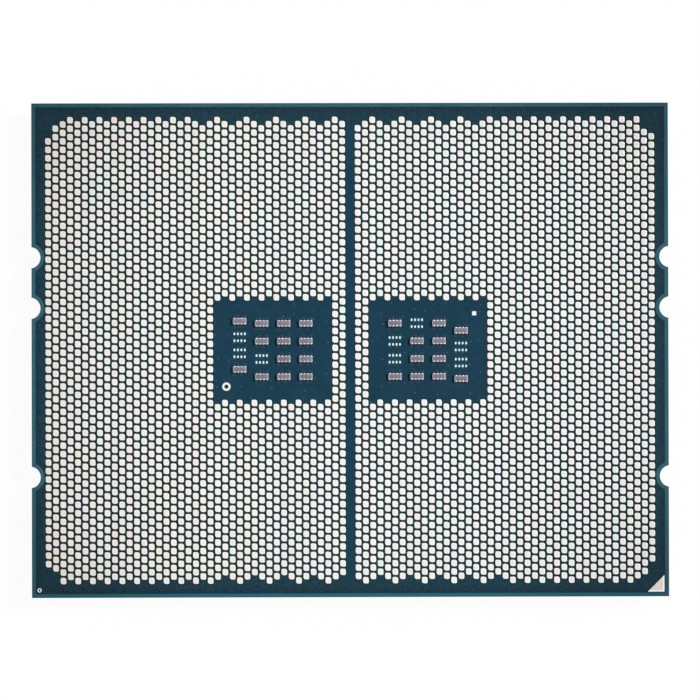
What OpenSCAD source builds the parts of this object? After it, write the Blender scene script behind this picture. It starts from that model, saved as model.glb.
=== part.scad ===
// A large land-grid processor, lying on its heat spreader with its contact side up.
// The origin is the middle of the heat spreader's outer face, and +Z points to the contact side.
// +X runs along the long side, and the triangle that marks the first contact is at +X, -Y.

/* [Substrate] */
// Length along X
package_l = 75.4; // [62:0.1:90]
// Width along Y
package_w = 58.5; // [56:0.1:75]
// Thickness of the laminate
substrate_t = 1.75; // [1:0.05:2.6]
// Radius of the keying notches in the short sides
notch_r = 1.28; // [0.8:0.02:1.4]
// Distance of a notch's centre outside the edge
notch_set_out = 0.22; // [0:0.02:0.6]
// Places of the notches along Y
notch_places = [11, 5, -15]; // [-24:0.1:24]

/* [Lands] */
// Pitch of the lands along a column
land_pitch = 1; // [0.95:0.01:1.4]
// Distance between neighbouring columns
column_pitch = 0.87; // [0.84:0.01:1.2]
// Diameter of a land, with the area of the rounded rectangle it stands for
land_d = 0.83; // [0.5:0.01:0.9]
// Thickness of a land above the laminate
land_t = 0.04; // [0.02:0.01:0.1]
// Distance between the two columns at the centre strip
centre_gap = 1.84; // [1.2:0.02:3]
// Least bare border between the edge and a land
field_margin = 1.5; // [1.2:0.05:4]
// Columns on each side of the centre strip whose ends step in and out
stepped_columns = 20; // [0:4:32]

/* [Component windows] */
// Columns that a window interrupts
window_columns = 16; // [16:1:20]
// Columns between a window and the centre strip
window_inner_columns = 2; // [1:1:6]
// Height of a window along Y
window_h = 12; // [11:1:20]
// Pitch of the capacitor places along X
spot_pitch_x = 2.61; // [2.2:0.01:2.9]
// Pitch of the capacitor places along Y
spot_pitch_y = 2.1; // [1.7:0.01:2.4]
// Pitch along Y in the outer column of places
outer_pitch_y = 1.9; // [1.6:0.01:2.2]
// Distance that the outer column moves towards the window's clear corner
outer_shift_y = 0.575; // [0:0.025:0.8]

/* [Capacitors] */
// Length of the ceramic along X
cap_l = 1.6; // [1.5:0.02:2]
// Width of the ceramic along Y
cap_w = 0.74; // [0.6:0.01:1]
// Height of the ceramic
cap_h = 0.5; // [0.3:0.02:0.8]
// Pitch of the terminals along X
terminal_pitch = 0.41; // [0.35:0.01:0.46]
// Width of a terminal along X
terminal_w = 0.25; // [0.15:0.01:0.3]
// Reach of a terminal over the ceramic's top and bottom
terminal_reach = 0.15; // [0.1:0.01:0.25]
// Thickness of a terminal's plating
terminal_t = 0.03; // [0.02:0.01:0.06]
// Length of a solder pad along Y
pad_l = 0.31; // [0.25:0.01:0.5]
// Width of a solder pad along X
pad_w = 0.22; // [0.15:0.01:0.32]
// Distance between the two rows of solder pads
pad_row_gap = 0.81; // [0.7:0.01:1]
// Thickness of a pad or a mark above the laminate
pad_t = 0.03; // [0.02:0.01:0.08]

/* [Marks] */
// Distance of a fiducial from its window's edge along X
fiducial_inset_x = 1.47; // [0.8:0.01:1.6]
// Distance of a fiducial from its window's edge along Y
fiducial_inset_y = 1.69; // [0.8:0.01:1.8]
// Outer diameter of the ring fiducial
ring_d = 1.04; // [0.8:0.02:1.4]
// Width of the ring fiducial's band
ring_band = 0.3; // [0.15:0.01:0.36]
// Side of the square fiducial
square_side = 0.54; // [0.3:0.02:0.9]
// Legs of the first-contact triangle
triangle_leg = 1.96; // [1:0.02:2.4]
// Distance of the triangle from the edges
triangle_inset = 0.56; // [0.3:0.01:0.8]
// Distance of the small corner ring from the edges
corner_ring_inset = 0.65; // [0.3:0.05:0.8]
// Outer diameter of the small corner ring
corner_ring_d = 0.5; // [0.4:0.02:0.8]
// Width of the small corner ring's band
corner_ring_band = 0.12; // [0.06:0.01:0.16]

/* [Heat spreader] */
// Bare border of the substrate around the lid
lid_border = 3.5; // [2:0.1:5]
// Radius of the lid's corners
lid_corner_r = 3.2; // [2:0.1:5]
// Thickness of the lid over the dies
lid_plate_t = 3; // [2.2:0.05:4]
// Height of the raised contact face above the flange
plateau_h = 1.6; // [0.8:0.05:2]
// Width of the flange along the short sides
flange_x = 2.4; // [1:0.1:4]
// Width of the flange along the long sides
flange_y = 1.6; // [1:0.1:4]
// Bevel round the contact face
plateau_bevel = 0.45; // [0.1:0.05:0.7]
// Width of the lid's foot
foot_w = 3.2; // [2:0.1:3.4]
// Thickness of the sealant under the foot
seal_t = 0.15; // [0.08:0.01:0.3]
// Distance of the sealant from the foot's edges
seal_inset = 0.4; // [0.1:0.05:0.8]
// Width of the vents that break the sealant
vent_w = 6; // [2:0.5:12]

/* [Dies] */
// Length of the input and output die along X
io_l = 15.2; // [10:0.1:22]
// Width of the input and output die along Y
io_w = 27.4; // [20:0.1:32]
// Width of a compute die along Y
compute_w = 7.2; // [6:0.1:10]
// Gap between neighbouring dies along X
die_gap = 0.9; // [0.6:0.05:2]
// Clearance between the outer dies and the lid's foot
die_clearance = 1; // [0.6:0.05:3]
// Distance of the rows of compute dies from the middle
compute_row_y = 11; // [6:0.1:14]
// Thickness of a die
die_t = 0.78; // [0.4:0.02:1.2]
// Height of the solder bumps between a die and the laminate
bump_h = 0.07; // [0.05:0.01:0.15]
// Thickness of the solder between a die and the lid
solder_t = 0.35; // [0.1:0.01:0.5]
// Reach of the underfill beyond a die
underfill_reach = 0.4; // [0.1:0.05:0.55]
// Height that the underfill climbs on a die's sides
underfill_climb = 0.4; // [0.1:0.02:0.4]

/* [Die-side capacitors] */
// Length of a small capacitor along Y
chip_l = 1; // [0.6:0.05:1.6]
// Width and height of a small capacitor
chip_w = 0.5; // [0.3:0.05:0.6]
// Length of its end terminals
chip_end = 0.22; // [0.1:0.02:0.25]
// Pitch of the small capacitors along X
chip_pitch = 1.3; // [0.9:0.05:1.4]
// Small capacitors in a row
chips_in_row = 10; // [2:1:11]
// Gap between the input and output die and a row
chip_gap = 1.2; // [0.8:0.05:3]

/* [Hidden] */
$fn = 32;
eps = 0.01;
least_corner_r = 0.5;

// Levels, upwards from the lid's outer face
cavity_h = solder_t + die_t + bump_h - seal_t;
lid_h = lid_plate_t + cavity_h;
laminate_z = lid_h + seal_t;
contact_z = laminate_z + substrate_t;

// Outlines of the lid
lid_l = package_l - 2 * lid_border;
lid_w = package_w - 2 * lid_border;
plateau_l = lid_l - 2 * flange_x;
plateau_w = lid_w - 2 * flange_y;
plateau_corner_r = max(plateau_bevel + eps, lid_corner_r - min(flange_x, flange_y));
cavity_l = lid_l - 2 * foot_w;
cavity_w = lid_w - 2 * foot_w;
cavity_corner_r = max(least_corner_r, lid_corner_r - foot_w);

// Land pattern of one half, with column 0 at the centre strip and row 0 at the bottom
field_half_l = package_l / 2 - field_margin - land_d / 2 - centre_gap / 2;
field_w = package_w - 2 * field_margin - land_d - land_pitch / 2;
columns = floor(field_half_l / column_pitch) + 1;
rows = floor(field_w / land_pitch) + 1;
stagger = land_pitch / 4;
step_period = 4;
outermost_trim = 2;
next_trim = 1;

// Component window of the left half; the right one is its half turn
window_l = window_columns * column_pitch;
window_x = -(centre_gap / 2 + (window_inner_columns + (window_columns - 1) / 2) * column_pitch);
fiducial_x = window_x - window_l / 2 + fiducial_inset_x;
fiducial_y = -window_h / 2 + fiducial_inset_y;

// Capacitor places as column and row, from the window's outer upper corner
spot_count = 4;
terminal_count = 4;
spots = [for (c = [0 : spot_count - 1]) for (r = [0 : spot_count - 1]) [c, r]];
left_bare = [[0, 1], [0, 2], [1, 2]];
right_bare = [[0, 1], [0, 2], [2, 3], [3, 1], [3, 2]];
left_turn = 0;
right_turn = 180;
capacitors = concat(
    [for (s = spots) if (!is_in(s, left_bare)) [left_turn, s]],
    [for (s = spots) if (!is_in(s, right_bare)) [right_turn, s]]
);

// Compute dies, in columns and two rows on each side of the middle, as long as the cavity allows
compute_columns = 2;
compute_l = (cavity_l / 2 - die_clearance - io_l / 2) / compute_columns - die_gap;
compute_x = [for (i = [0 : compute_columns - 1]) io_l / 2 + (i + 1) * die_gap + (i + 0.5) * compute_l];
compute_places = [
    for (side = [-1, 1]) for (x = compute_x) for (row = [1, -1]) [side * x, row * compute_row_y]
];

laminate_colour = [0.12, 0.25, 0.32];
gold_colour = [0.93, 0.89, 0.86];
ceramic_colour = [0.55, 0.49, 0.5];
nickel_colour = [0.72, 0.72, 0.7];
silicon_colour = [0.3, 0.31, 0.36];
solder_colour = [0.78, 0.78, 0.8];
resin_colour = [0.1, 0.1, 0.12];

CAPACITOR_NODES = [for (i = [1 : len(capacitors)]) str("capacitor_", i)];
DIE_NODES = [for (i = [1 : len(compute_places)]) str("compute_die_", i)];
SOLDER_NODES = [for (i = [1 : len(compute_places)]) str("compute_solder_", i)];

// Pattern rules

function is_in(item, list) = len([for (entry = list) if (entry == item) entry]) > 0;

function column_x(i) = -(centre_gap / 2 + i * column_pitch);

function land_y(i, j) = (j - (rows - 1) / 2) * land_pitch + (i % 2 == 0 ? -stagger : stagger);

function corner_trim(i) = i == columns - 1 ? outermost_trim : i == columns - 2 ? next_trim : 0;

function step_trim(i, phase) = i < stepped_columns && i % step_period == phase ? 1 : 0;

function first_row(i) = max(corner_trim(i), step_trim(i, 0));

function last_row(i) = rows - 1 - max(corner_trim(i), step_trim(i, step_period - 1));

function is_window_column(i) = i >= window_inner_columns && i < window_inner_columns + window_columns;

function is_land(i, j) = !(is_window_column(i) && abs(land_y(i, j)) < window_h / 2);

function spot_x(s) = window_x + (s[0] - (spot_count - 1) / 2) * spot_pitch_x;

function spot_y(s) = s[0] == 0
    ? outer_shift_y + ((spot_count - 1) / 2 - s[1]) * outer_pitch_y
    : ((spot_count - 1) / 2 - s[1]) * spot_pitch_y;

function terminal_x(i) = (i - (terminal_count - 1) / 2) * terminal_pitch;

// Shapes that repeat

module block(l, w, h) {
    translate([-l / 2, -w / 2, 0]) cube([l, w, h]);
}

module rounded_outline(l, w, r) {
    square([l - 2 * r, w], center = true);
    square([l, w - 2 * r], center = true);
    for (x = [-1, 1]) for (y = [-1, 1]) translate([x * (l / 2 - r), y * (w / 2 - r)]) circle(r);
}

module rounded_plate(l, w, r, h) {
    linear_extrude(h) rounded_outline(l, w, r);
}

// A rounded plate whose sides slope in towards its lower face
module sloped_plate(l, w, r, slope, h) {
    for (turn = [0, 90]) {
        upper = (turn == 0 ? l : w) / 2;
        lower = upper - slope;
        run = (turn == 0 ? w : l) - 2 * r;
        rotate(turn) rotate([90, 0, 0]) translate([0, 0, -run / 2]) linear_extrude(run)
            polygon([[-lower, 0], [lower, 0], [upper, h], [-upper, h]]);
    }
    for (x = [-1, 1]) for (y = [-1, 1])
        translate([x * (l / 2 - r), y * (w / 2 - r), 0]) cylinder(h = h, r1 = r - slope, r2 = r);
}

module ring(d, band, h) {
    difference() {
        cylinder(d = d, h = h);
        translate([0, 0, -eps]) cylinder(d = d - 2 * band, h = h + 2 * eps);
    }
}

module half_land_field() {
    for (i = [0 : columns - 1]) for (j = [first_row(i) : last_row(i)])
        if (is_land(i, j))
            translate([column_x(i), land_y(i, j), contact_z]) cylinder(d = land_d, h = land_t);
}

module solder_pads() {
    for (s = spots) translate([spot_x(s), spot_y(s), contact_z])
        for (i = [0 : terminal_count - 1]) for (side = [-1, 1])
            translate([terminal_x(i), side * pad_row_gap / 2, 0]) block(pad_w, pad_l, pad_t);
}

// Ceramic with four terminals on each long side, each wrapped round the edge
module array_capacitor() {
    translate([0, 0, terminal_t]) block(cap_l, cap_w, cap_h);
    wrap = terminal_reach + terminal_t;
    for (i = [0 : terminal_count - 1]) for (side = [-1, 1])
        translate([terminal_x(i), side * (cap_w / 2 + terminal_t - wrap / 2), 0])
            block(terminal_w, wrap, cap_h + 2 * terminal_t);
}

module die(l, w) {
    translate([0, 0, lid_plate_t + solder_t]) block(l, w, die_t);
}

module solder_layer(l, w) {
    translate([0, 0, lid_plate_t]) block(l, w, solder_t);
}

// Resin that fills the bump layer and climbs the die's sides
module underfill_of(l, w) {
    reach = underfill_reach;
    height = bump_h + underfill_climb;
    translate([0, 0, laminate_z - height]) difference() {
        sloped_plate(l + 2 * reach, w + 2 * reach, reach, reach, height);
        translate([0, 0, -eps]) block(l, w, underfill_climb + eps);
    }
}

module chip_capacitor() {
    inner_w = chip_w - 2 * terminal_t;
    translate([0, 0, terminal_t]) block(inner_w, chip_l - chip_end, inner_w);
    for (side = [-1, 1]) translate([0, side * (chip_l - chip_end) / 2, 0]) block(chip_w, chip_end, chip_w);
}

// Sub-parts

module substrate() {
    color(laminate_colour) translate([0, 0, laminate_z]) difference() {
        block(package_l, package_w, substrate_t);
        for (side = [-1, 1]) for (y = notch_places)
            translate([side * (package_l / 2 + notch_set_out), y, -eps])
                cylinder(r = notch_r, h = substrate_t + 2 * eps);
    }
}

module left_lands() {
    color(gold_colour) half_land_field();
}

module right_lands() {
    color(gold_colour) rotate(right_turn) half_land_field();
}

module left_solder_pads() {
    color(gold_colour) solder_pads();
}

module right_solder_pads() {
    color(gold_colour) rotate(right_turn) solder_pads();
}

module capacitor(i) {
    turn = capacitors[i][0];
    spot = capacitors[i][1];
    color(ceramic_colour) rotate(turn) translate([spot_x(spot), spot_y(spot), contact_z + pad_t])
        array_capacitor();
}

module ring_fiducial() {
    color(gold_colour) translate([fiducial_x, fiducial_y, contact_z]) ring(ring_d, ring_band, pad_t);
}

module square_fiducial() {
    color(gold_colour) rotate(right_turn) translate([fiducial_x, fiducial_y, contact_z])
        block(square_side, square_side, pad_t);
}

module pin_one_mark() {
    corner = [package_l / 2 - triangle_inset, -package_w / 2 + triangle_inset, contact_z];
    color(gold_colour) translate(corner)
        linear_extrude(pad_t) polygon([[0, 0], [0, triangle_leg], [-triangle_leg, 0]]);
}

module corner_ring() {
    place = corner_ring_inset + corner_ring_d / 2;
    color(gold_colour) translate([-package_l / 2 + place, -package_w / 2 + place, contact_z])
        ring(corner_ring_d, corner_ring_band, pad_t);
}

module heat_spreader() {
    color(nickel_colour) difference() {
        union() {
            sloped_plate(plateau_l, plateau_w, plateau_corner_r, plateau_bevel, plateau_bevel);
            translate([0, 0, plateau_bevel])
                rounded_plate(plateau_l, plateau_w, plateau_corner_r, plateau_h - plateau_bevel);
            translate([0, 0, plateau_h]) rounded_plate(lid_l, lid_w, lid_corner_r, lid_h - plateau_h);
        }
        translate([0, 0, lid_plate_t]) rounded_plate(cavity_l, cavity_w, cavity_corner_r, cavity_h + eps);
    }
}

module lid_sealant() {
    outer_r = lid_corner_r - seal_inset;
    inner_r = cavity_corner_r + seal_inset;
    color(resin_colour) translate([0, 0, lid_h]) difference() {
        rounded_plate(lid_l - 2 * seal_inset, lid_w - 2 * seal_inset, outer_r, seal_t);
        translate([0, 0, -eps])
            rounded_plate(cavity_l + 2 * seal_inset, cavity_w + 2 * seal_inset, inner_r, seal_t + 2 * eps);
        translate([0, 0, -eps]) block(lid_l, vent_w, seal_t + 2 * eps);
    }
}

module io_die() {
    color(silicon_colour) die(io_l, io_w);
}

module io_solder() {
    color(solder_colour) solder_layer(io_l, io_w);
}

module compute_die(i) {
    color(silicon_colour) translate(compute_places[i]) die(compute_l, compute_w);
}

module compute_solder(i) {
    color(solder_colour) translate(compute_places[i]) solder_layer(compute_l, compute_w);
}

module underfill() {
    color(resin_colour) {
        underfill_of(io_l, io_w);
        for (place = compute_places) translate(place) underfill_of(compute_l, compute_w);
    }
}

module die_side_capacitors() {
    color(ceramic_colour) for (row = [-1, 1]) for (i = [0 : chips_in_row - 1])
        translate([
            (i - (chips_in_row - 1) / 2) * chip_pitch,
            row * (io_w / 2 + chip_gap + chip_l / 2),
            laminate_z - chip_w
        ]) chip_capacitor();
}

substrate();
left_lands();
right_lands();
left_solder_pads();
right_solder_pads();
for (i = [0 : len(CAPACITOR_NODES) - 1]) {
    capacitor(i);
}
ring_fiducial();
square_fiducial();
pin_one_mark();
corner_ring();
heat_spreader();
lid_sealant();
io_die();
io_solder();
for (i = [0 : len(compute_places) - 1]) {
    compute_die(i);
    compute_solder(i);
}
underfill();
die_side_capacitors();
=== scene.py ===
"""Looks of a large land-grid processor that lies on its heat spreader, contact side up."""
import math
import random

import bmesh
import bpy
from mathutils import Matrix, Vector


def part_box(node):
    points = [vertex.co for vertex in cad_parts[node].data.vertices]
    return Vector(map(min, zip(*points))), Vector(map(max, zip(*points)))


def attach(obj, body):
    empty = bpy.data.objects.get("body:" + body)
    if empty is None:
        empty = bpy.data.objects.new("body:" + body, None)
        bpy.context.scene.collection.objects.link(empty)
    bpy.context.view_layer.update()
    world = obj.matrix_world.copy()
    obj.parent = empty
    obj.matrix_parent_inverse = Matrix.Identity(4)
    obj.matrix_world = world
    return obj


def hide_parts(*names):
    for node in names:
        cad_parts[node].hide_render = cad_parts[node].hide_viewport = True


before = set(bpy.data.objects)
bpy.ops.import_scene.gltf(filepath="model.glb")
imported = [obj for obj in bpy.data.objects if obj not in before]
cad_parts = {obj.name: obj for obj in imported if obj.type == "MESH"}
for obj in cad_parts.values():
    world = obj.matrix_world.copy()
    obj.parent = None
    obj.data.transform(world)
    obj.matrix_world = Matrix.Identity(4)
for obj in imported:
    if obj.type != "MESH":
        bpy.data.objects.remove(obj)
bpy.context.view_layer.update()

MM = 0.001
BODY = "root"
HALVES = ("left", "right")
SCREEN_WHITE = 255.0

# Levels and outline, from the frame
board_low, board_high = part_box("substrate")
board_half = Vector((board_high.x, board_high.y))
contact_z = board_high.z
land_top_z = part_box("left_lands")[1].z
pad_top_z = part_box("left_solder_pads")[1].z
capacitor_nodes = sorted(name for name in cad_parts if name.startswith("capacitor_"))


def srgb(red, green, blue):
    """A colour given as 0 to 255 screen values, as a linear RGBA tuple by the sRGB curve."""
    def linear(value):
        share = value / SCREEN_WHITE
        return share / 12.92 if share <= 0.04045 else ((share + 0.055) / 1.055) ** 2.4
    return linear(red), linear(green), linear(blue), 1.0


# Points that round to one place on a grid count as one: a fine grid for the corners of the CAD's
# solids, and a coarse one, which their columns and cells lie on
FINE_STEP = 1e-7
FINE_PER_M = 1e7
COARSE_PER_M = 2e5

# Quarters of an outline, anticlockwise from the upper right one
QUARTERS = ((1, 1), (-1, 1), (-1, -1), (1, -1))

# Lands: a rounded rectangle with two small and two large corners, each a radius and its arc's steps
LAND_W = 0.655 * MM
LAND_L = 0.75 * MM
LARGE_CORNER = (0.245 * MM, 4)
SMALL_CORNER = (0.13 * MM, 2)
LAND_CORNERS = (LARGE_CORNER, SMALL_CORNER, LARGE_CORNER, SMALL_CORNER)

# Rings of a land, foot first: growth of the outline, share of the height, share of the edge's tone
LAND_LEVELS = ((0.012 * MM, 0.0, 1.0), (0.0, 0.72, 1.0), (-0.1 * MM, 1.0, 0.45))

# Screen values of the lands' plating, kept for each point of the mesh in a layer of this name, with
# painted light: a painted highlight at each land's edge, and painted shade towards the board's
# sides, ends and corners
TONES_AND_PAINTED_LIGHT_LAYER = "finish"
LAND_CENTRE = (244, 234, 234)
# Painted highlight: each land's edge is paler than its centre
LAND_EDGE_PAINTED_HIGHLIGHT = (243, 255, 254)
EDGE_TINT_SHARE = 0.5

# Spread of the lands' grey, red and blue: each land's own, and a column's
LAND_SEED = 4094
LAND_SPREADS = (1.6, 5.0, 3.9)
COLUMN_SPREADS = (1.1, 3.4, 2.7)
RED_LUMA = 0.299
BLUE_LUMA = 0.114
PINK_SHARE = 0.2

# Painted shade: the lands are darker towards the sides, the ends and the corners, and warmer to the
# left
LAND_BRIGHTEST = (0.04, -0.04)
LAND_PAINTED_SHADE_POWER = 3
LAND_SIDE_PAINTED_SHADE = 14.8
LAND_END_PAINTED_SHADE = 6.5
LAND_CORNER_PAINTED_SHADE = 15.4
LAND_PAINTED_SHADE_SHARES = (0.83, 1.0, 1.15)
LAND_WARMTH = (1.8, 3.5)

# Mask opening under the lands, a thin dark field one cell wide round each land
OPENING_T = 0.006 * MM
# Lighter near the centre strip, a painted reflection, and darker far from it, painted shade
OPENING_TONES_PAINTED_REFLECTION = (srgb(35, 47, 46), srgb(47, 61, 60))
OPENING_TONES_PAINTED_SHADE = (srgb(27, 36, 34), srgb(39, 48, 46))
MIDDLE_SHARE = 0.35

# Bare solder pads, with corners and rings as the lands have
PAD_W = 0.2 * MM
PAD_L = 0.29 * MM
PAD_CORNERS = ((0.06 * MM, 2),) * 4
PAD_LEVELS = ((0.0, 0.0, 1.0), (0.0, 0.92, 1.0), (-0.05 * MM, 1.0, 0.2))
PAD_CENTRE = (234, 252, 255)
# Painted shade: each pad's edge is darker than its centre
PAD_EDGE_PAINTED_SHADE = (206, 232, 238)
PADS_IN_LINE = 8

# Copper that runs on under the mask round every other pad
COVERED_W = 0.42 * MM
COVERED_L = 0.72 * MM
COVERED_CORNERS = ((0.08 * MM, 2),) * 4
COVERED_T = 0.008 * MM
COVERED_TONES = (srgb(38, 72, 88), srgb(48, 82, 98))

# Array capacitors, with the places of their materials
CERAMIC, TIN, SOLDER = range(3)
CAP_EDGE_R = 0.07 * MM
CAP_EDGE_SEGMENTS = 3
TERMINALS = 4
TERMINAL_PITCH = 0.41 * MM
TERMINAL_W = 0.25 * MM
TERMINAL_REACH = 0.15 * MM
TERMINAL_T = 0.03 * MM
TERMINAL_R = 0.028 * MM
TERMINAL_SEGMENTS = 2
FILLET_REACH = 0.2 * MM
FILLET_CLIMB = 0.28 * MM
FILLET_STEPS = 5
ROUND_PROFILE = 0.5

# Opening in the ring fiducial
HOLE_R = 0.22 * MM
HOLE_SIDES = 24
HOLE_TONES = (srgb(32, 46, 44), srgb(42, 56, 54))

# Lid: faces that lie in one plane are joined before its edges are softened
LID_WELD = 0.001 * MM
LID_FLAT_ANGLE = math.radians(0.5)
LID_EDGE_W = 0.12 * MM
LID_EDGE_SEGMENTS = 3
LID_EDGE_ANGLE = math.radians(35)

# Mask: a paler rim past the end of the copper, with the notches, and a border round the lands
RIM_W = 0.45 * MM
RIM_INNER_W = 0.15 * MM
RIM_BLEND = 0.03 * MM
RIM_FRONT_SHARE = 0.8
BORDER_W = 2.6 * MM
BORDER_BLEND = 0.8 * MM
BORDER_DARK_W = 1.2 * MM
NOTCH_R = 1.28 * MM
NOTCH_SET_OUT = 0.22 * MM
NOTCH_PLACES = (11 * MM, 5 * MM, -15 * MM)
FIELD_TONES = (srgb(15, 54, 72), srgb(22, 58, 79))
FIELD_GRAIN_TONE = srgb(26, 62, 78)
BORDER_DARK_TONES = (srgb(14, 48, 61), srgb(10, 41, 53))
BORDER_LIGHT_TONES = (srgb(33, 63, 77), srgb(29, 56, 68))
RIM_TONES = (srgb(40, 92, 105), srgb(51, 96, 110))
RIM_FRONT_TONE = srgb(27, 99, 118)
RIM_OUTER_TONE = srgb(50, 88, 95)
MOTTLE_HEIGHT = 0.6

# Painted shade: the mask darkens towards the corners, where x times y comes near its most
CORNER_SPAN = (0.4, 0.9)
CORNER_DARKEST = 0.7

# Covered vias, which show where a cell's own draw is high
VIA_PITCH = 1.3 * MM
VIA_R = 0.12 * MM
VIA_CORE_R = 0.4 * VIA_R
VIA_FREE_X = 1.6 * MM
VIA_DRAW_SPAN = (0.3, 1.0)
VIA_STRONGEST = 0.55
VIA_TONE = srgb(84, 122, 142)

# Sawn edge: a core between two films, and the foil where they meet
FILM_T = 0.36 * MM
FILM_BLEND = 0.02 * MM
FOIL_SPAN = (0.06 * MM, 0.02 * MM)
FOIL_SHARE = 0.7
CORE_TONES = (srgb(78, 90, 78), srgb(112, 114, 94))
FILM_TONES = (srgb(36, 66, 74), srgb(56, 86, 90))
FOIL_TONE = srgb(126, 98, 70)
FACE_SPAN = (0.5, 0.7)

# Noise: the span that holds most of its values, its defaults, and an unstretched one
NOISE_SPAN = (0.3, 0.7)
NOISE_DETAIL = 3.0
NOISE_ROUGHNESS = 0.55
EVEN = (1.0, 1.0, 1.0)

# Sockets of a Mix node that mixes colours: share, first and second colour, and the result
MIX_INPUTS = (0, 6, 7)
MIX_RESULT = 2

# Photograph: 700 pixels a side, with the scale measured on the board's edges and the lands
IMAGE_PX = 700
PX_PER_MM = 8.4476
CAMERA_DISTANCE = 0.6
CAMERA_AIM = (-0.038 * MM, -0.006 * MM)
CAMERA_LEAN = (-0.0144, -0.0089)
CAMERA_ROLL = math.radians(0.1245)
CAMERA_CLIP = (0.01, 10.0)
SENSOR_W = 36.0

# Studio
FLOOR_HALF = 2.0
FLOOR_WHITE = (0.95, 0.95, 0.95, 1.0)
FLOOR_GLOW_SHARE = 0.95
WORLD_WHITE = (1.0, 1.0, 1.0, 1.0)
WORLD_FILL = 0.34
KEY_ENERGY = 2.5
KEY_SPREAD = math.radians(14)
KEY_PLACE = (0.3, 0.12, 0.55)


class Graph:
    """A node tree, with short calls for its nodes."""

    def __init__(self, tree):
        self.tree = tree

    def node(self, kind, **settings):
        """A new node with some of its settings changed."""
        made = self.tree.nodes.new(kind)
        for name, value in settings.items():
            setattr(made, name, value)
        return made

    def plug(self, socket, value):
        """Links an output to a socket, or sets the socket's own value."""
        if isinstance(value, bpy.types.NodeSocket):
            self.tree.links.new(value, socket)
        else:
            socket.default_value = value

    def fill(self, made, *values):
        """Plugs values into a node's sockets in their order, and returns its first output."""
        for socket, value in zip(made.inputs, values):
            self.plug(socket, value)
        return made.outputs[0]

    def math(self, operation, *values):
        return self.fill(self.node("ShaderNodeMath", operation=operation), *values)

    def step(self, value, start, end, low=0.0, high=1.0):
        """A smooth change from low to high while a value goes from start to end."""
        made = self.node("ShaderNodeMapRange", interpolation_type="SMOOTHSTEP")
        return self.fill(made, value, start, end, low, high)


class Shader(Graph):
    """A Principled material, with short calls for what feeds it."""

    def __init__(self, name, **sockets):
        self.material = bpy.data.materials.new(name)
        self.material.use_nodes = True
        super().__init__(self.material.node_tree)
        self.bsdf = self.tree.nodes["Principled BSDF"]
        for socket, value in sockets.items():
            self.feed(socket.replace("_", " "), value)

    def feed(self, socket, value):
        """Plugs a value into the Principled shader."""
        self.plug(self.bsdf.inputs[socket], value)

    def colour(self, value):
        self.feed("Base Color", value)

    def rough(self, texture, low, high, span=NOISE_SPAN):
        """Roughness that follows a texture from low to high."""
        self.feed("Roughness", self.step(texture, *span, low, high))

    def bump(self, height, depth, strength):
        """Fine relief that follows a texture."""
        made = self.node("ShaderNodeBump")
        made.inputs["Strength"].default_value = strength
        made.inputs["Distance"].default_value = depth
        self.plug(made.inputs["Height"], height)
        self.feed("Normal", made.outputs[0])

    def mix(self, share, first, second, blend="MIX"):
        """Two colours, with a share of the second."""
        made = self.node("ShaderNodeMix", data_type="RGBA", blend_type=blend)
        for index, value in zip(MIX_INPUTS, (share, first, second)):
            self.plug(made.inputs[index], value)
        return made.outputs[MIX_RESULT]

    def tones(self, texture, pair, span=NOISE_SPAN):
        """Two tones that take turns with a texture."""
        return self.mix(self.step(texture, *span), *pair)

    def flecks(self, ground, texture, tone, most, span=NOISE_SPAN):
        """A ground colour with some of a tone, at most a given share, where a texture is high."""
        return self.mix(self.step(texture, *span, 0.0, most), ground, tone)

    def place(self, stretch=EVEN):
        """Object coordinates, stretched on request."""
        coordinates = self.node("ShaderNodeTexCoord").outputs["Object"]
        if stretch == EVEN:
            return coordinates
        mapping = self.node("ShaderNodeMapping")
        mapping.inputs["Scale"].default_value = stretch
        self.plug(mapping.inputs["Vector"], coordinates)
        return mapping.outputs[0]

    def noise(self, size, detail=NOISE_DETAIL, stretch=EVEN):
        """Noise with lumps of about a given size, in metres."""
        made = self.node("ShaderNodeTexNoise")
        self.plug(made.inputs["Vector"], self.place(stretch))
        made.inputs["Scale"].default_value = 1 / size
        made.inputs["Detail"].default_value = detail
        made.inputs["Roughness"].default_value = NOISE_ROUGHNESS
        return made.outputs["Fac"]

    def parts(self, vector):
        """The three parts of a vector or colour."""
        made = self.node("ShaderNodeSeparateXYZ")
        self.plug(made.inputs[0], vector)
        return made.outputs

    def point(self):
        """Object coordinates one by one."""
        return self.parts(self.place())

    def absolute(self, value):
        return self.math("ABSOLUTE", value)

    def hypotenuse(self, dx, dy):
        squares = (self.math("POWER", leg, 2.0) for leg in (dx, dy))
        return self.math("SQRT", self.math("ADD", *squares))

    def normal_z(self):
        return self.parts(self.node("ShaderNodeNewGeometry").outputs["True Normal"])[2]

    def own_tones_and_painted_light(self):
        """The plating's colour that the mesh holds, painted highlight and painted shade included.
        """
        return self.node("ShaderNodeAttribute", attribute_name=TONES_AND_PAINTED_LIGHT_LAYER).outputs["Color"]

    def from_middle(self, node):
        """Distances from a CAD node's middle along X and Y."""
        low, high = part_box(node)
        middle = (low + high) / 2
        x, y, _ = self.point()
        return self.math("SUBTRACT", x, middle.x), self.math("SUBTRACT", y, middle.y)


# Materials of the board


def edge_closeness(shader):
    """How far a point lies past the inner line of the board's rim, in metres, notches included."""
    x, y, _ = shader.point()
    across = shader.absolute(x)
    past_x = shader.math("SUBTRACT", across, board_half.x - RIM_W)
    past_y = shader.math("SUBTRACT", shader.absolute(y), board_half.y - RIM_W)
    past = shader.math("MAXIMUM", past_x, past_y)
    for notch_y in NOTCH_PLACES:
        dx = shader.math("SUBTRACT", across, board_half.x + NOTCH_SET_OUT)
        dy = shader.math("SUBTRACT", y, notch_y)
        inside = shader.math("SUBTRACT", NOTCH_R + RIM_W, shader.hypotenuse(dx, dy))
        past = shader.math("MAXIMUM", past, inside)
    return past


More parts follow.
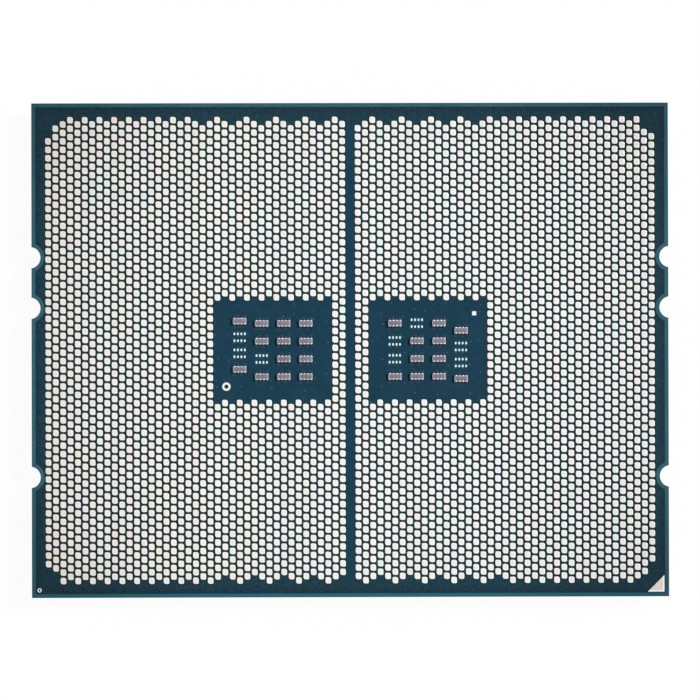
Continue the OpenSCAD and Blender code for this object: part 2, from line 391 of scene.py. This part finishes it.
def via_spots(shader):
    """Faint pale spots where covered vias lie close under the mask, none in the centre strip."""
    cells = shader.node("ShaderNodeTexVoronoi", voronoi_dimensions="2D")
    shader.plug(cells.inputs["Vector"], shader.place())
    cells.inputs["Scale"].default_value = 1 / VIA_PITCH
    distance = cells.outputs["Distance"]
    spot = shader.step(distance, VIA_R / VIA_PITCH, VIA_CORE_R / VIA_PITCH)
    x, _, _ = shader.point()
    outside = shader.math("GREATER_THAN", shader.absolute(x), VIA_FREE_X)
    spot = shader.math("MULTIPLY", spot, outside)
    own = shader.parts(cells.outputs["Color"])[0]
    return shader.math("MULTIPLY", spot, shader.step(own, *VIA_DRAW_SPAN, 0.0, VIA_STRONGEST))


def edge_layers(shader):
    """Sawn edge: a glass-cloth core between two films, with copper foil where they meet."""
    _, _, z = shader.point()
    depth = shader.absolute(shader.math("SUBTRACT", z, (board_low.z + board_high.z) / 2))
    off_foil = shader.math("SUBTRACT", depth, (board_high.z - board_low.z) / 2 - FILM_T)
    weave = shader.noise(0.3 * MM, stretch=(1.0, 1.0, 4.0))
    core = shader.tones(weave, CORE_TONES)
    film = shader.tones(weave, FILM_TONES)
    layers = shader.mix(shader.step(off_foil, -FILM_BLEND, FILM_BLEND), core, film)
    foil = shader.step(shader.absolute(off_foil), *FOIL_SPAN, 0.0, FOIL_SHARE)
    return shader.mix(foil, layers, FOIL_TONE)


def mask_field(shader, mottle, grain):
    """Mask inside the border, which shows in the windows and the centre strip."""
    mask = shader.tones(mottle, FIELD_TONES, span=(0.35, 0.65))
    mask = shader.flecks(mask, grain, FIELD_GRAIN_TONE, most=0.5)
    return shader.mix(via_spots(shader), mask, VIA_TONE)


def mask_border(shader, grain, past):
    """Mask round the lands, with a stronger grain, and darker close to the rim."""
    near_rim = shader.step(past, -BORDER_DARK_W, 0.0)
    dark = shader.mix(near_rim, *BORDER_DARK_TONES)
    light = shader.mix(near_rim, *BORDER_LIGHT_TONES)
    return shader.tones(grain, (dark, light), span=(0.25, 0.75))


def mask_rim(shader, mottle, past):
    """Mask past the end of the copper, bluer in front and greyer at the board's edge."""
    rim = shader.tones(mottle, RIM_TONES, span=(0.4, 0.6))
    _, y, _ = shader.point()
    front = shader.step(y, RIM_W - board_half.y, RIM_FRONT_SHARE * RIM_W - board_half.y)
    rim = shader.mix(front, rim, RIM_FRONT_TONE)
    return shader.mix(shader.step(past, RIM_INNER_W, RIM_W), rim, RIM_OUTER_TONE)


def corner_painted_shade(shader):
    """1 on most of the board, and less towards its corners, which paints shade there."""
    x, y, _ = shader.point()
    corner = shader.absolute(shader.math("MULTIPLY", x, y))
    most = board_half.x * board_half.y
    start, end = (share * most for share in CORNER_SPAN)
    return shader.step(corner, start, end, 1.0, CORNER_DARKEST)


def laminate_material():
    """Dark teal solder mask with a paler rim where the copper stops, and a layered edge."""
    shader = Shader("solder_mask", Specular_IOR_Level=0.06)
    mottle = shader.noise(3.2 * MM)
    grain = shader.noise(0.3 * MM, detail=2.0)
    past = edge_closeness(shader)
    field = mask_field(shader, mottle, grain)
    border = mask_border(shader, grain, past)
    mask = shader.mix(shader.step(past, -BORDER_W, -BORDER_W + BORDER_BLEND), field, border)
    rim = mask_rim(shader, mottle, past)
    mask = shader.mix(shader.step(past, -RIM_BLEND, RIM_BLEND), mask, rim)
    # Painted shade towards the corners
    mask = shader.mix(1.0, mask, corner_painted_shade(shader), blend="MULTIPLY")
    face = shader.step(shader.absolute(shader.normal_z()), *FACE_SPAN)
    shader.colour(shader.mix(face, edge_layers(shader), mask))
    shader.rough(grain, low=0.42, high=0.58, span=(0.2, 0.8))
    height = shader.math("ADD", grain, shader.math("MULTIPLY", mottle, MOTTLE_HEIGHT))
    shader.bump(height, depth=0.004 * MM, strength=0.5)
    return shader.material


def matt_material(name, near, far):
    """Matt, finely grained mask: its dark and light tones at the centre strip, and far from it;
    where they differ, the lighter tones near the strip are a painted reflection and the darker far
    ones painted shade.
    """
    shader = Shader(name, Specular_IOR_Level=0.02)
    grain = shader.noise(0.12 * MM)
    x, y, _ = shader.point()
    # Painted light: a blend from the tones at the centre strip to the far ones
    away_x = shader.step(shader.absolute(x), 0.0, board_half.x)
    away_y = shader.step(shader.absolute(y), 0.0, board_half.y, MIDDLE_SHARE, 1.0)
    away = shader.math("MULTIPLY", away_x, away_y)
    dark, light = (shader.mix(away, *pair) for pair in zip(near, far))
    shader.colour(shader.mix(grain, dark, light))
    shader.rough(grain, low=0.7, high=0.85)
    return shader.material


# Materials of the plating


def land_material():
    """Pale plating: each land has its own slight tint, a painted highlight at its edge and painted
    shade towards the board's sides, ends and corners, with fine scuffs.
    """
    shader = Shader("land_plating", Metallic=1.0)
    scuff = shader.noise(0.16 * MM, detail=4.0)
    own = shader.own_tones_and_painted_light()
    shader.colour(shader.flecks(own, scuff, srgb(205, 194, 186), most=0.12, span=(0.4, 0.8)))
    shader.rough(scuff, low=0.11, high=0.16)
    shader.bump(shader.noise(0.05 * MM, detail=2.0), depth=0.0008 * MM, strength=0.3)
    return shader.material


def pad_material():
    """Bright tinned pads, with painted shade at their edges."""
    shader = Shader("pad_plating", Metallic=1.0)
    blotch = shader.noise(0.2 * MM)
    own = shader.own_tones_and_painted_light()
    shader.colour(shader.flecks(own, blotch, srgb(196, 202, 202), most=0.15, span=(0.4, 0.7)))
    shader.rough(blotch, low=0.12, high=0.2)
    shader.bump(shader.noise(0.06 * MM), depth=0.002 * MM, strength=0.4)
    return shader.material


def square_material():
    """White plating of the square fiducial, with painted shade at its edges."""
    shader = Shader("square_plating", Metallic=1.0, Roughness=0.15)
    dx, dy = shader.from_middle("square_fiducial")
    off = shader.math("MAXIMUM", shader.absolute(dx), shader.absolute(dy))
    # The second tone is painted shade at the edges
    tones = (srgb(250, 251, 249), srgb(128, 134, 134))
    shader.colour(shader.tones(off, tones, span=(0.17 * MM, 0.27 * MM)))
    return shader.material


def ring_material():
    """Cream plating of the ring fiducial, with painted shade at both edges of the band."""
    shader = Shader("ring_plating", Metallic=1.0, Roughness=0.16)
    low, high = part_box("ring_fiducial")
    band_r = ((high.x - low.x) / 2 + HOLE_R) / 2
    reach = shader.hypotenuse(*shader.from_middle("ring_fiducial"))
    off = shader.absolute(shader.math("SUBTRACT", reach, band_r))
    # The second tone is painted shade at the band's edges
    tones = (srgb(252, 247, 236), srgb(150, 142, 126))
    shader.colour(shader.tones(off, tones, span=(0.05 * MM, 0.15 * MM)))
    return shader.material


def triangle_material():
    """Warm plating of the first-contact triangle, with a painted highlight along two edges."""
    shader = Shader("triangle_plating", Metallic=1.0)
    blotch = shader.noise(0.45 * MM)
    tones = (srgb(206, 205, 211), srgb(215, 199, 186))
    tint = shader.tones(blotch, tones, span=(0.35, 0.65))
    x, y, _ = shader.point()
    low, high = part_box("pin_one_mark")
    # Painted highlight along the right and lower edges
    start, end = (0.2 * MM, 0.08 * MM)
    highlight_x = shader.step(x, high.x - start, high.x - end)
    highlight_y = shader.step(y, low.y + start, low.y + end)
    edge = shader.math("MAXIMUM", highlight_x, highlight_y)
    shader.colour(shader.mix(edge, tint, srgb(238, 238, 238)))
    shader.rough(blotch, low=0.13, high=0.2)
    shader.bump(shader.noise(0.08 * MM), depth=0.003 * MM, strength=0.4)
    return shader.material


def nickel_material():
    """Matt nickel over stamped copper: fine lay lines and faint stains."""
    shader = Shader("nickel_plating", Metallic=1.0)
    lay = shader.noise(0.5 * MM, detail=5.0, stretch=(0.04, 1.0, 1.0))
    stain = shader.noise(9 * MM)
    tones = (srgb(197, 195, 190), srgb(187, 184, 178))
    plate = shader.tones(stain, tones, span=(0.35, 0.7))
    shader.colour(shader.flecks(plate, lay, srgb(154, 152, 147), most=0.2, span=(0.35, 0.7)))
    shader.rough(lay, low=0.3, high=0.44, span=(0.25, 0.75))
    shader.bump(lay, depth=0.006 * MM, strength=0.4)
    return shader.material


# Other materials


def ceramic_material():
    """Mauve-grey fired ceramic, a little different in each capacitor, with a painted highlight that
    makes it paler at the ends.
    """
    shader = Shader("capacitor_ceramic", Specular_IOR_Level=0.3)
    x, y, _ = shader.point()
    low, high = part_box(capacitor_nodes[0])
    past_x = shader.math("SUBTRACT", shader.absolute(x), (high.x - low.x) / 2)
    past_y = shader.math("SUBTRACT", shader.absolute(y), (high.y - low.y) / 2)
    past = shader.math("MAXIMUM", past_x, past_y)
    own = shader.node("ShaderNodeObjectInfo").outputs["Random"]
    body = shader.mix(own, srgb(120, 113, 117), srgb(135, 124, 137))
    grain = shader.noise(0.09 * MM, detail=4.0)
    body = shader.flecks(body, grain, srgb(106, 100, 112), most=0.6, span=(0.4, 0.65))
    # Painted highlight: paler near the body's outline, where its edges are rounded
    painted_highlight_span = (-0.17 * MM, -0.06 * MM)
    shader.colour(shader.flecks(body, past, srgb(176, 174, 182), most=0.85, span=painted_highlight_span))
    shader.rough(grain, low=0.5, high=0.68)
    shader.bump(grain, depth=0.003 * MM, strength=0.5)
    return shader.material


def plain_material(
    name, size, tones, rough=None, bump=None, detail=NOISE_DETAIL, stretch=EVEN, **sockets
):
    """Two tones that follow one noise, with a roughness range and a bump's depth and strength."""
    shader = Shader(name, **sockets)
    texture = shader.noise(size, detail=detail, stretch=stretch)
    shader.colour(shader.mix(texture, *tones))
    if rough:
        shader.rough(texture, *rough)
    if bump:
        shader.bump(texture, *bump)
    return shader.material


def corner_ring_material():
    """Thin, dull plating of the small corner ring."""
    return plain_material(
        "corner_ring_plating",
        size=0.15 * MM,
        tones=(srgb(228, 233, 233), srgb(196, 202, 203)),
        Metallic=1.0,
        Roughness=0.18,
    )


def terminal_material():
    """Tinned copper terminals."""
    return plain_material(
        "terminal_tin",
        size=0.09 * MM,
        tones=(srgb(157, 165, 174), srgb(139, 147, 157)),
        rough=(0.3, 0.4),
        bump=(0.003 * MM, 0.4),
        Metallic=1.0,
    )


def painted_shade_fillet_material():
    """Dull solder that wets the terminals, its dark colour painted shade in place of its shine."""
    return plain_material(
        "fillet_solder_painted_dark",
        size=0.12 * MM,
        # Dark tones: painted shade
        tones=(srgb(54, 64, 72), srgb(72, 82, 90)),
        rough=(0.4, 0.6),
        Specular_IOR_Level=0.2,
    )


def sealant_material():
    """Black cured adhesive with a lumpy skin."""
    return plain_material(
        "lid_adhesive",
        size=0.6 * MM,
        tones=(srgb(26, 27, 29), srgb(44, 45, 48)),
        rough=(0.5, 0.7),
        bump=(0.03 * MM, 0.6),
        Specular_IOR_Level=0.35,
    )


def silicon_material():
    """Ground silicon with a faint blue cast and grinding marks."""
    return plain_material(
        "ground_silicon",
        size=0.4 * MM,
        tones=(srgb(92, 96, 110), srgb(118, 122, 134)),
        rough=(0.16, 0.28),
        bump=(0.002 * MM, 0.3),
        detail=5.0,
        stretch=(0.1, 1.0, 1.0),
        Metallic=0.6,
    )


def indium_material():
    """Soft, blotchy indium solder."""
    return plain_material(
        "indium_layer",
        size=0.8 * MM,
        tones=(srgb(206, 208, 212), srgb(172, 174, 180)),
        rough=(0.35, 0.55),
        bump=(0.02 * MM, 0.5),
        detail=4.0,
        Metallic=1.0,
    )


def resin_material():
    """Dark, glossy underfill."""
    return plain_material(
        "underfill_resin",
        size=0.7 * MM,
        tones=(srgb(22, 22, 26), srgb(46, 40, 38)),
        rough=(0.15, 0.35),
        bump=(0.02 * MM, 0.4),
        Specular_IOR_Level=0.5,
    )


# Mesh helpers


def place_piece(name, mesh, materials, location=(0, 0, 0)):
    """A new piece of the object, with its body."""
    for material in materials:
        if material.name not in mesh.materials:
            mesh.materials.append(material)
    piece = bpy.data.objects.new(name, mesh)
    piece.location = location
    bpy.context.scene.collection.objects.link(piece)
    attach(piece, BODY)
    return piece


def mesh_of(name, shape):
    """A new mesh from a bmesh, which is used up."""
    mesh = bpy.data.meshes.new(name)
    shape.to_mesh(mesh)
    shape.free()
    return mesh


def coarse(value):
    """Number that values share whatever their rounding, such as the x of one column's lands."""
    return round(value * COARSE_PER_M)


def solid_centres(node):
    """Centre of each separate solid of a CAD node, column by column, from its mesh's corners."""
    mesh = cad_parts[node].data
    keys = {}
    corner = []
    for vertex in mesh.vertices:
        key = tuple(round(value * FINE_PER_M) for value in vertex.co)
        corner.append(keys.setdefault(key, len(keys)))
    places = [Vector(key) * FINE_STEP for key in keys]
    leader = list(range(len(keys)))

    def find(index):
        while leader[index] != index:
            leader[index] = leader[leader[index]]
            index = leader[index]
        return index

    for first, second in mesh.edge_keys:
        leader[find(corner[first])] = find(corner[second])
    groups = {}
    for index, place in enumerate(places):
        groups.setdefault(find(index), []).append(place)
    middles = [sum(group, Vector()) / len(group) for group in groups.values()]
    centres = [(middle.x, middle.y) for middle in middles]
    return sorted(centres, key=lambda centre: (coarse(centre[0]), centre[1]))


def rounded_outline(width, length, corners, grow=0.0):
    """Anticlockwise outline from the upper right corner, each corner a radius and its steps."""
    points = []
    for quarter, ((sx, sy), (radius, steps)) in enumerate(zip(QUARTERS, corners)):
        middle = Vector((sx * (width / 2 - radius), sy * (length / 2 - radius)))
        for index in range(steps + 1):
            angle = math.pi / 2 * (quarter + index / steps)
            points.append(middle + (radius + grow) * Vector((math.cos(angle), math.sin(angle))))
    return points


def ring_stack(width, length, corners, levels, height):
    """Rings for islands of a given height on the contact side, each an outline and its z."""
    return [
        (rounded_outline(width, length, corners, grow), contact_z + rise * height)
        for grow, rise, _ in levels
    ]


def add_islands(name, centres, rings, material):
    """One closed island at each centre, lofted through rings of (outline, z), its top a fan."""
    count = len(rings[0][0])
    crown_z = rings[-1][1]
    verts = []
    faces = []
    for x, y in centres:
        base = len(verts)
        for outline, z in rings:
            verts.extend((x + point.x, y + point.y, z) for point in outline)
        crown = len(verts)
        verts.append((x, y, crown_z))
        for level in range(len(rings) - 1):
            low = base + level * count
            high = low + count
            for index in range(count):
                after = (index + 1) % count
                faces.append((low + index, low + after, high + after, high + index))
        top = base + (len(rings) - 1) * count
        faces.extend((top + index, top + (index + 1) % count, crown) for index in range(count))
        faces.append(tuple(reversed(range(base, base + count))))
    mesh = bpy.data.meshes.new(name)
    mesh.from_pydata(verts, [], faces)
    mesh.validate()
    return place_piece(name, mesh, [material])


def paint_islands(piece, rings, levels, tones_with_painted_light):
    """Colours each island by its tones, a centre's and an edge's, and its rings' shares; the edge's
    tone is painted light.
    """
    colours = []
    for centre, edge in tones_with_painted_light:
        for (outline, _), (_, _, share) in zip(rings, levels):
            tone = (inner + share * (outer - inner) for inner, outer in zip(centre, edge))
            colours.extend(srgb(*tone) * len(outline))
        colours.extend(srgb(*centre))
    layer = piece.data.color_attributes.new(TONES_AND_PAINTED_LIGHT_LAYER, "FLOAT_COLOR", "POINT")
    layer.data.foreach_set("color", colours)


def add_films(name, centres, outline, thickness, material):
    """Thin flat islands of the laminate, all of one outline."""
    rings = [(outline, contact_z), (outline, contact_z + thickness)]
    add_islands(name, centres, rings, material)


def join_bmesh(target, source, material_index):
    """Adds the bmesh source, which is used up, to the bmesh target."""
    for face in source.faces:
        face.material_index = material_index
        face.smooth = True
    holder = mesh_of("holder", source)
    target.from_mesh(holder)
    bpy.data.meshes.remove(holder)


def rounded_block(target, size, centre, radius, segments, material_index):
    """Adds a box with rounded edges to the bmesh target."""
    block = bmesh.new()
    matrix = Matrix.Translation(centre) @ Matrix.Diagonal((*size, 1.0))
    bmesh.ops.create_cube(block, size=1.0, matrix=matrix)
    bmesh.ops.bevel(
        block,
        geom=block.edges[:],
        offset=radius,
        segments=segments,
        profile=ROUND_PROFILE,
        affect="EDGES",
        clamp_overlap=True,
    )
    join_bmesh(target, block, material_index)


# Pieces


def land_tones_and_painted_light(place, column_draws, own_draws):
    """Tones of a land's centre and edge: painted shade that falls off from the brightest place, a
    painted highlight at the edge, and a tint of even luma.
    """
    across = place[0] / board_half.x
    along = place[1] / board_half.y
    side = abs(across - LAND_BRIGHTEST[0]) ** LAND_PAINTED_SHADE_POWER
    end = abs(along - LAND_BRIGHTEST[1]) ** LAND_PAINTED_SHADE_POWER
    # Painted shade: darker towards the board's sides, ends and corners
    painted_fall = LAND_SIDE_PAINTED_SHADE * side + LAND_END_PAINTED_SHADE * end + LAND_CORNER_PAINTED_SHADE * side * end
    grey, red, blue = (sum(draws) for draws in zip(column_draws, own_draws))
    blue += PINK_SHARE * red
    green = -(RED_LUMA * red + BLUE_LUMA * blue)
    shade = [grey - share * painted_fall for share in LAND_PAINTED_SHADE_SHARES]
    warm_red, warm_blue = LAND_WARMTH
    tint = (green + red - warm_red * across, green, green + blue + warm_blue * across)
    centre = [min(SCREEN_WHITE, sum(parts)) for parts in zip(LAND_CENTRE, shade, tint)]
    # Painted highlight: the edge takes the paler edge tone
    edge = [
        min(SCREEN_WHITE, tone + shift + EDGE_TINT_SHARE * hue)
        for tone, shift, hue in zip(LAND_EDGE_PAINTED_HIGHLIGHT, shade, tint)
    ]
    return centre, edge


def land_tones_with_painted_light(centres, chance):
    """Tones for each land, painted light included, from draws that its column shares and draws of
    its own.
    """
    def draw(spreads):
        return [chance.gauss(0.0, spread) for spread in spreads]

    columns = {}
    tones_with_painted_light = []
    for place in centres:
        column = coarse(place[0])
        if column not in columns:
            columns[column] = draw(COLUMN_SPREADS)
        tones_with_painted_light.append(land_tones_and_painted_light(place, columns[column], draw(LAND_SPREADS)))
    return tones_with_painted_light


def make_lands(plating, mask):
    """Both fields of contact lands, each with its mask opening."""
    rings = ring_stack(LAND_W, LAND_L, LAND_CORNERS, LAND_LEVELS, land_top_z - contact_z)
    chance = random.Random(LAND_SEED)
    for half in HALVES:
        node = half + "_lands"
        centres = solid_centres(node)
        piece = add_islands(half + "_contact_lands", centres, rings, plating)
        paint_islands(piece, rings, LAND_LEVELS, land_tones_with_painted_light(centres, chance))
        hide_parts(node)
        make_opening(half + "_mask_opening", centres, mask)


def make_opening(name, centres, material):
    """Thin dark field of one cell round each land; half cells share corners across the stagger."""
    columns = sorted({coarse(x) for x, _ in centres})
    column_pitch = min(after - before for before, after in zip(columns, columns[1:])) / COARSE_PER_M
    first = [y for x, y in centres if coarse(x) == columns[0]]
    row_pitch = min(after - before for before, after in zip(first, first[1:]))
    half_w = column_pitch / 2
    half_l = row_pitch / 2
    sheet = bmesh.new()
    corners = {}

    def corner(x, y, rise):
        key = (coarse(x), coarse(y), rise)
        if key not in corners:
            corners[key] = sheet.verts.new((x, y, contact_z + rise))
        return corners[key]

    for x, y in centres:
        for low in (y - half_l, y):
            spots = (
                (x - half_w, low),
                (x + half_w, low),
                (x + half_w, low + half_l),
                (x - half_w, low + half_l),
            )
            sheet.faces.new([corner(*spot, OPENING_T) for spot in spots])
            sheet.faces.new([corner(*spot, 0.0) for spot in reversed(spots)])
    for edge in [edge for edge in sheet.edges if edge.is_boundary]:
        loop = edge.link_loops[0]
        start = loop.vert
        end = loop.link_loop_next.vert
        if start.co.z > contact_z + OPENING_T / 2:
            feet = [corner(vert.co.x, vert.co.y, 0.0) for vert in (start, end)]
            sheet.faces.new((end, start, *feet))
    place_piece(name, mesh_of(name, sheet), [material])


def make_solder_pads(plating, mask):
    """Bare solder pads, with the covered copper that runs on beside every other one."""
    rings = ring_stack(PAD_W, PAD_L, PAD_CORNERS, PAD_LEVELS, pad_top_z - contact_z)
    for half in HALVES:
        node = half + "_solder_pads"
        centres = solid_centres(node)
        piece = add_islands(half + "_bare_pads", centres, rings, plating)
        # Each pad's edge takes painted shade
        paint_islands(piece, rings, PAD_LEVELS, [(PAD_CENTRE, PAD_EDGE_PAINTED_SHADE)] * len(centres))
        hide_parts(node)
        make_covered_copper(half + "_covered_copper", centres, mask)


def make_covered_copper(name, pads, material):
    """Low swells in the mask round every other pad of a row, the rows taking turns."""
    centres = [
        pad for index, pad in enumerate(pads) if index % 2 == index // PADS_IN_LINE % 2
    ]
    outline = rounded_outline(COVERED_W, COVERED_L, COVERED_CORNERS)
    add_films(name, centres, outline, COVERED_T, material)


def make_fiducial_hole(material):
    """Dark opening in the middle of the ring fiducial."""
    low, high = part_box("ring_fiducial")
    middle = (low + high) / 2
    turns = [2 * math.pi * index / HOLE_SIDES for index in range(HOLE_SIDES)]
    outline = [HOLE_R * Vector((math.cos(turn), math.sin(turn))) for turn in turns]
    add_films("fiducial_opening", [(middle.x, middle.y)], outline, OPENING_T, material)


def add_fillet(target, x, side, wall_y):
    """Adds a concave solder wedge, from a terminal's wall down to its pad, to the bmesh target."""
    wedge = bmesh.new()
    profile = [(0.0, 0.0)]
    for index in range(FILLET_STEPS + 1):
        angle = math.pi / 2 * index / FILLET_STEPS
        out = FILLET_REACH * (1 - math.sin(angle))
        profile.append((out, FILLET_CLIMB * (1 - math.cos(angle))))
    ends = []
    for end in (-1, 1):
        offset = x + end * side * TERMINAL_W / 2
        ends.append([
            wedge.verts.new((offset, side * (wall_y + out), up)) for out, up in profile
        ])
    count = len(profile)
    for index in range(count):
        after = (index + 1) % count
        wedge.faces.new((ends[0][index], ends[0][after], ends[1][after], ends[1][index]))
    wedge.faces.new(list(reversed(ends[0])))
    wedge.faces.new(ends[1])
    bmesh.ops.recalc_face_normals(wedge, faces=wedge.faces[:])
    join_bmesh(target, wedge, SOLDER)


def make_capacitors(ceramic, tin, solder):
    """Array capacitors with a rounded body, wrapped terminals and solder fillets."""
    low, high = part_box(capacitor_nodes[0])
    size = high - low
    middle_z = size.z / 2
    body = Vector((size.x, size.y - 2 * TERMINAL_T, size.z - 2 * TERMINAL_T))
    shape = bmesh.new()
    rounded_block(shape, body, Vector((0, 0, middle_z)), CAP_EDGE_R, CAP_EDGE_SEGMENTS, CERAMIC)
    reach = TERMINAL_REACH + TERMINAL_T
    terminal = Vector((TERMINAL_W, reach, size.z))
    for index in range(TERMINALS):
        x = (index - (TERMINALS - 1) / 2) * TERMINAL_PITCH
        for side in (-1, 1):
            centre = Vector((x, side * (size.y - reach) / 2, middle_z))
            rounded_block(shape, terminal, centre, TERMINAL_R, TERMINAL_SEGMENTS, TIN)
            add_fillet(shape, x, side, size.y / 2)
    mesh = mesh_of("array_capacitor", shape)
    materials = [ceramic, tin, solder]
    for name in capacitor_nodes:
        low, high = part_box(name)
        middle = (low + high) / 2
        location = (middle.x, middle.y, low.z)
        piece = place_piece("array_" + name, mesh, materials, location)
        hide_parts(name)


def make_lid(material):
    """The lid with its stamped edges softened."""
    shape = bmesh.new()
    shape.from_mesh(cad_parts["heat_spreader"].data)
    bmesh.ops.remove_doubles(shape, verts=shape.verts[:], dist=LID_WELD)
    bmesh.ops.dissolve_limit(
        shape,
        angle_limit=LID_FLAT_ANGLE,
        verts=shape.verts[:],
        edges=shape.edges[:],
        use_dissolve_boundaries=False,
    )
    for face in shape.faces:
        face.smooth = True
    mesh = mesh_of("stamped_lid", shape)
    piece = place_piece("stamped_lid", mesh, [material])
    bevel = piece.modifiers.new("soft_edges", "BEVEL")
    bevel.width = LID_EDGE_W
    bevel.segments = LID_EDGE_SEGMENTS
    bevel.limit_method = "ANGLE"
    bevel.angle_limit = LID_EDGE_ANGLE
    bevel.harden_normals = True
    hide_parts("heat_spreader")


def dress(node, material):
    """Gives a CAD node its finish."""
    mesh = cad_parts[node].data
    mesh.materials.clear()
    mesh.materials.append(material)


# Stage


def seen_directly(graph):
    """1 for rays from the camera, a reflection or a transmission, else 0."""
    path = graph.node("ShaderNodeLightPath")
    seen = path.outputs["Is Camera Ray"]
    for name in ("Is Glossy Ray", "Is Transmission Ray"):
        seen = graph.math("MAXIMUM", seen, path.outputs[name])
    return seen


def make_floor():
    """Pale floor, white to the eye and to reflections, that keeps a soft shadow."""
    mesh = bpy.data.meshes.new("floor")
    corners = [(sx * FLOOR_HALF, sy * FLOOR_HALF, 0.0) for sx, sy in QUARTERS]
    mesh.from_pydata(corners, [], [range(len(corners))])
    floor = bpy.data.objects.new("floor", mesh)
    bpy.context.scene.collection.objects.link(floor)
    material = bpy.data.materials.new("floor_white")
    material.use_nodes = True
    graph = Graph(material.node_tree)
    graph.tree.nodes.clear()
    diffuse = graph.node("ShaderNodeBsdfDiffuse")
    diffuse.inputs["Color"].default_value = FLOOR_WHITE
    glow = graph.node("ShaderNodeEmission")
    share = graph.math("MULTIPLY", seen_directly(graph), FLOOR_GLOW_SHARE)
    blend = graph.node("ShaderNodeMixShader")
    surface = graph.fill(blend, share, diffuse.outputs[0], glow.outputs[0])
    output = graph.node("ShaderNodeOutputMaterial")
    graph.plug(output.inputs["Surface"], surface)
    mesh.materials.append(material)


def make_light():
    """Even white surroundings with a key lamp on the right, upper side."""
    world = bpy.data.worlds.new("studio")
    bpy.context.scene.world = world
    world.use_nodes = True
    graph = Graph(world.node_tree)
    background = graph.tree.nodes["Background"]
    background.inputs["Color"].default_value = WORLD_WHITE
    strength = graph.step(seen_directly(graph), 0.0, 1.0, WORLD_FILL, 1.0)
    graph.plug(background.inputs["Strength"], strength)
    lamp = bpy.data.lights.new("key", "SUN")
    lamp.energy = KEY_ENERGY
    lamp.angle = KEY_SPREAD
    key = bpy.data.objects.new("key", lamp)
    bpy.context.scene.collection.objects.link(key)
    key.location = KEY_PLACE
    key.rotation_euler = (-key.location).to_track_quat("-Z", "Y").to_euler()


def make_camera():
    """Long lens almost straight above, leaning and rolled as the photograph's edges show."""
    data = bpy.data.cameras.new("camera")
    camera = bpy.data.objects.new("camera", data)
    bpy.context.scene.collection.objects.link(camera)
    bpy.context.scene.camera = camera
    target = Vector((*CAMERA_AIM, contact_z))
    back = Vector((*CAMERA_LEAN, 1.0)).normalized()
    right = Vector((math.cos(CAMERA_ROLL), -math.sin(CAMERA_ROLL), 0.0))
    right = (right - right.dot(back) * back).normalized()
    up = back.cross(right)
    turn = Matrix((right, up, back)).transposed()
    camera.matrix_world = Matrix.Translation(target + CAMERA_DISTANCE * back) @ turn.to_4x4()
    view_w = IMAGE_PX / PX_PER_MM * MM
    data.sensor_width = SENSOR_W
    data.lens = SENSOR_W * CAMERA_DISTANCE / view_w
    data.clip_start, data.clip_end = CAMERA_CLIP


make_camera()
make_light()
make_floor()
make_lands(land_material(), matt_material("land_opening", OPENING_TONES_PAINTED_REFLECTION, OPENING_TONES_PAINTED_SHADE))
make_solder_pads(pad_material(), matt_material("covered_copper", COVERED_TONES, COVERED_TONES))
ceramic_skin = ceramic_material()
make_capacitors(ceramic_skin, terminal_material(), painted_shade_fillet_material())
make_fiducial_hole(matt_material("fiducial_opening", HOLE_TONES, HOLE_TONES))
make_lid(nickel_material())

# CAD nodes that stay, by name, and the inner ones by the family in their names
node_skins = {
    "substrate": laminate_material(),
    "pin_one_mark": triangle_material(),
    "ring_fiducial": ring_material(),
    "square_fiducial": square_material(),
    "corner_ring": corner_ring_material(),
    "lid_sealant": sealant_material(),
    "underfill": resin_material(),
    "die_side_capacitors": ceramic_skin,
}
for node, skin in node_skins.items():
    dress(node, skin)
family_skins = {"die": silicon_material(), "solder": indium_material()}
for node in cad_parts:
    for family, skin in family_skins.items():
        if node.startswith(("io_" + family, "compute_" + family)):
            dress(node, skin)

bpy.context.scene.view_settings.view_transform = "Standard"
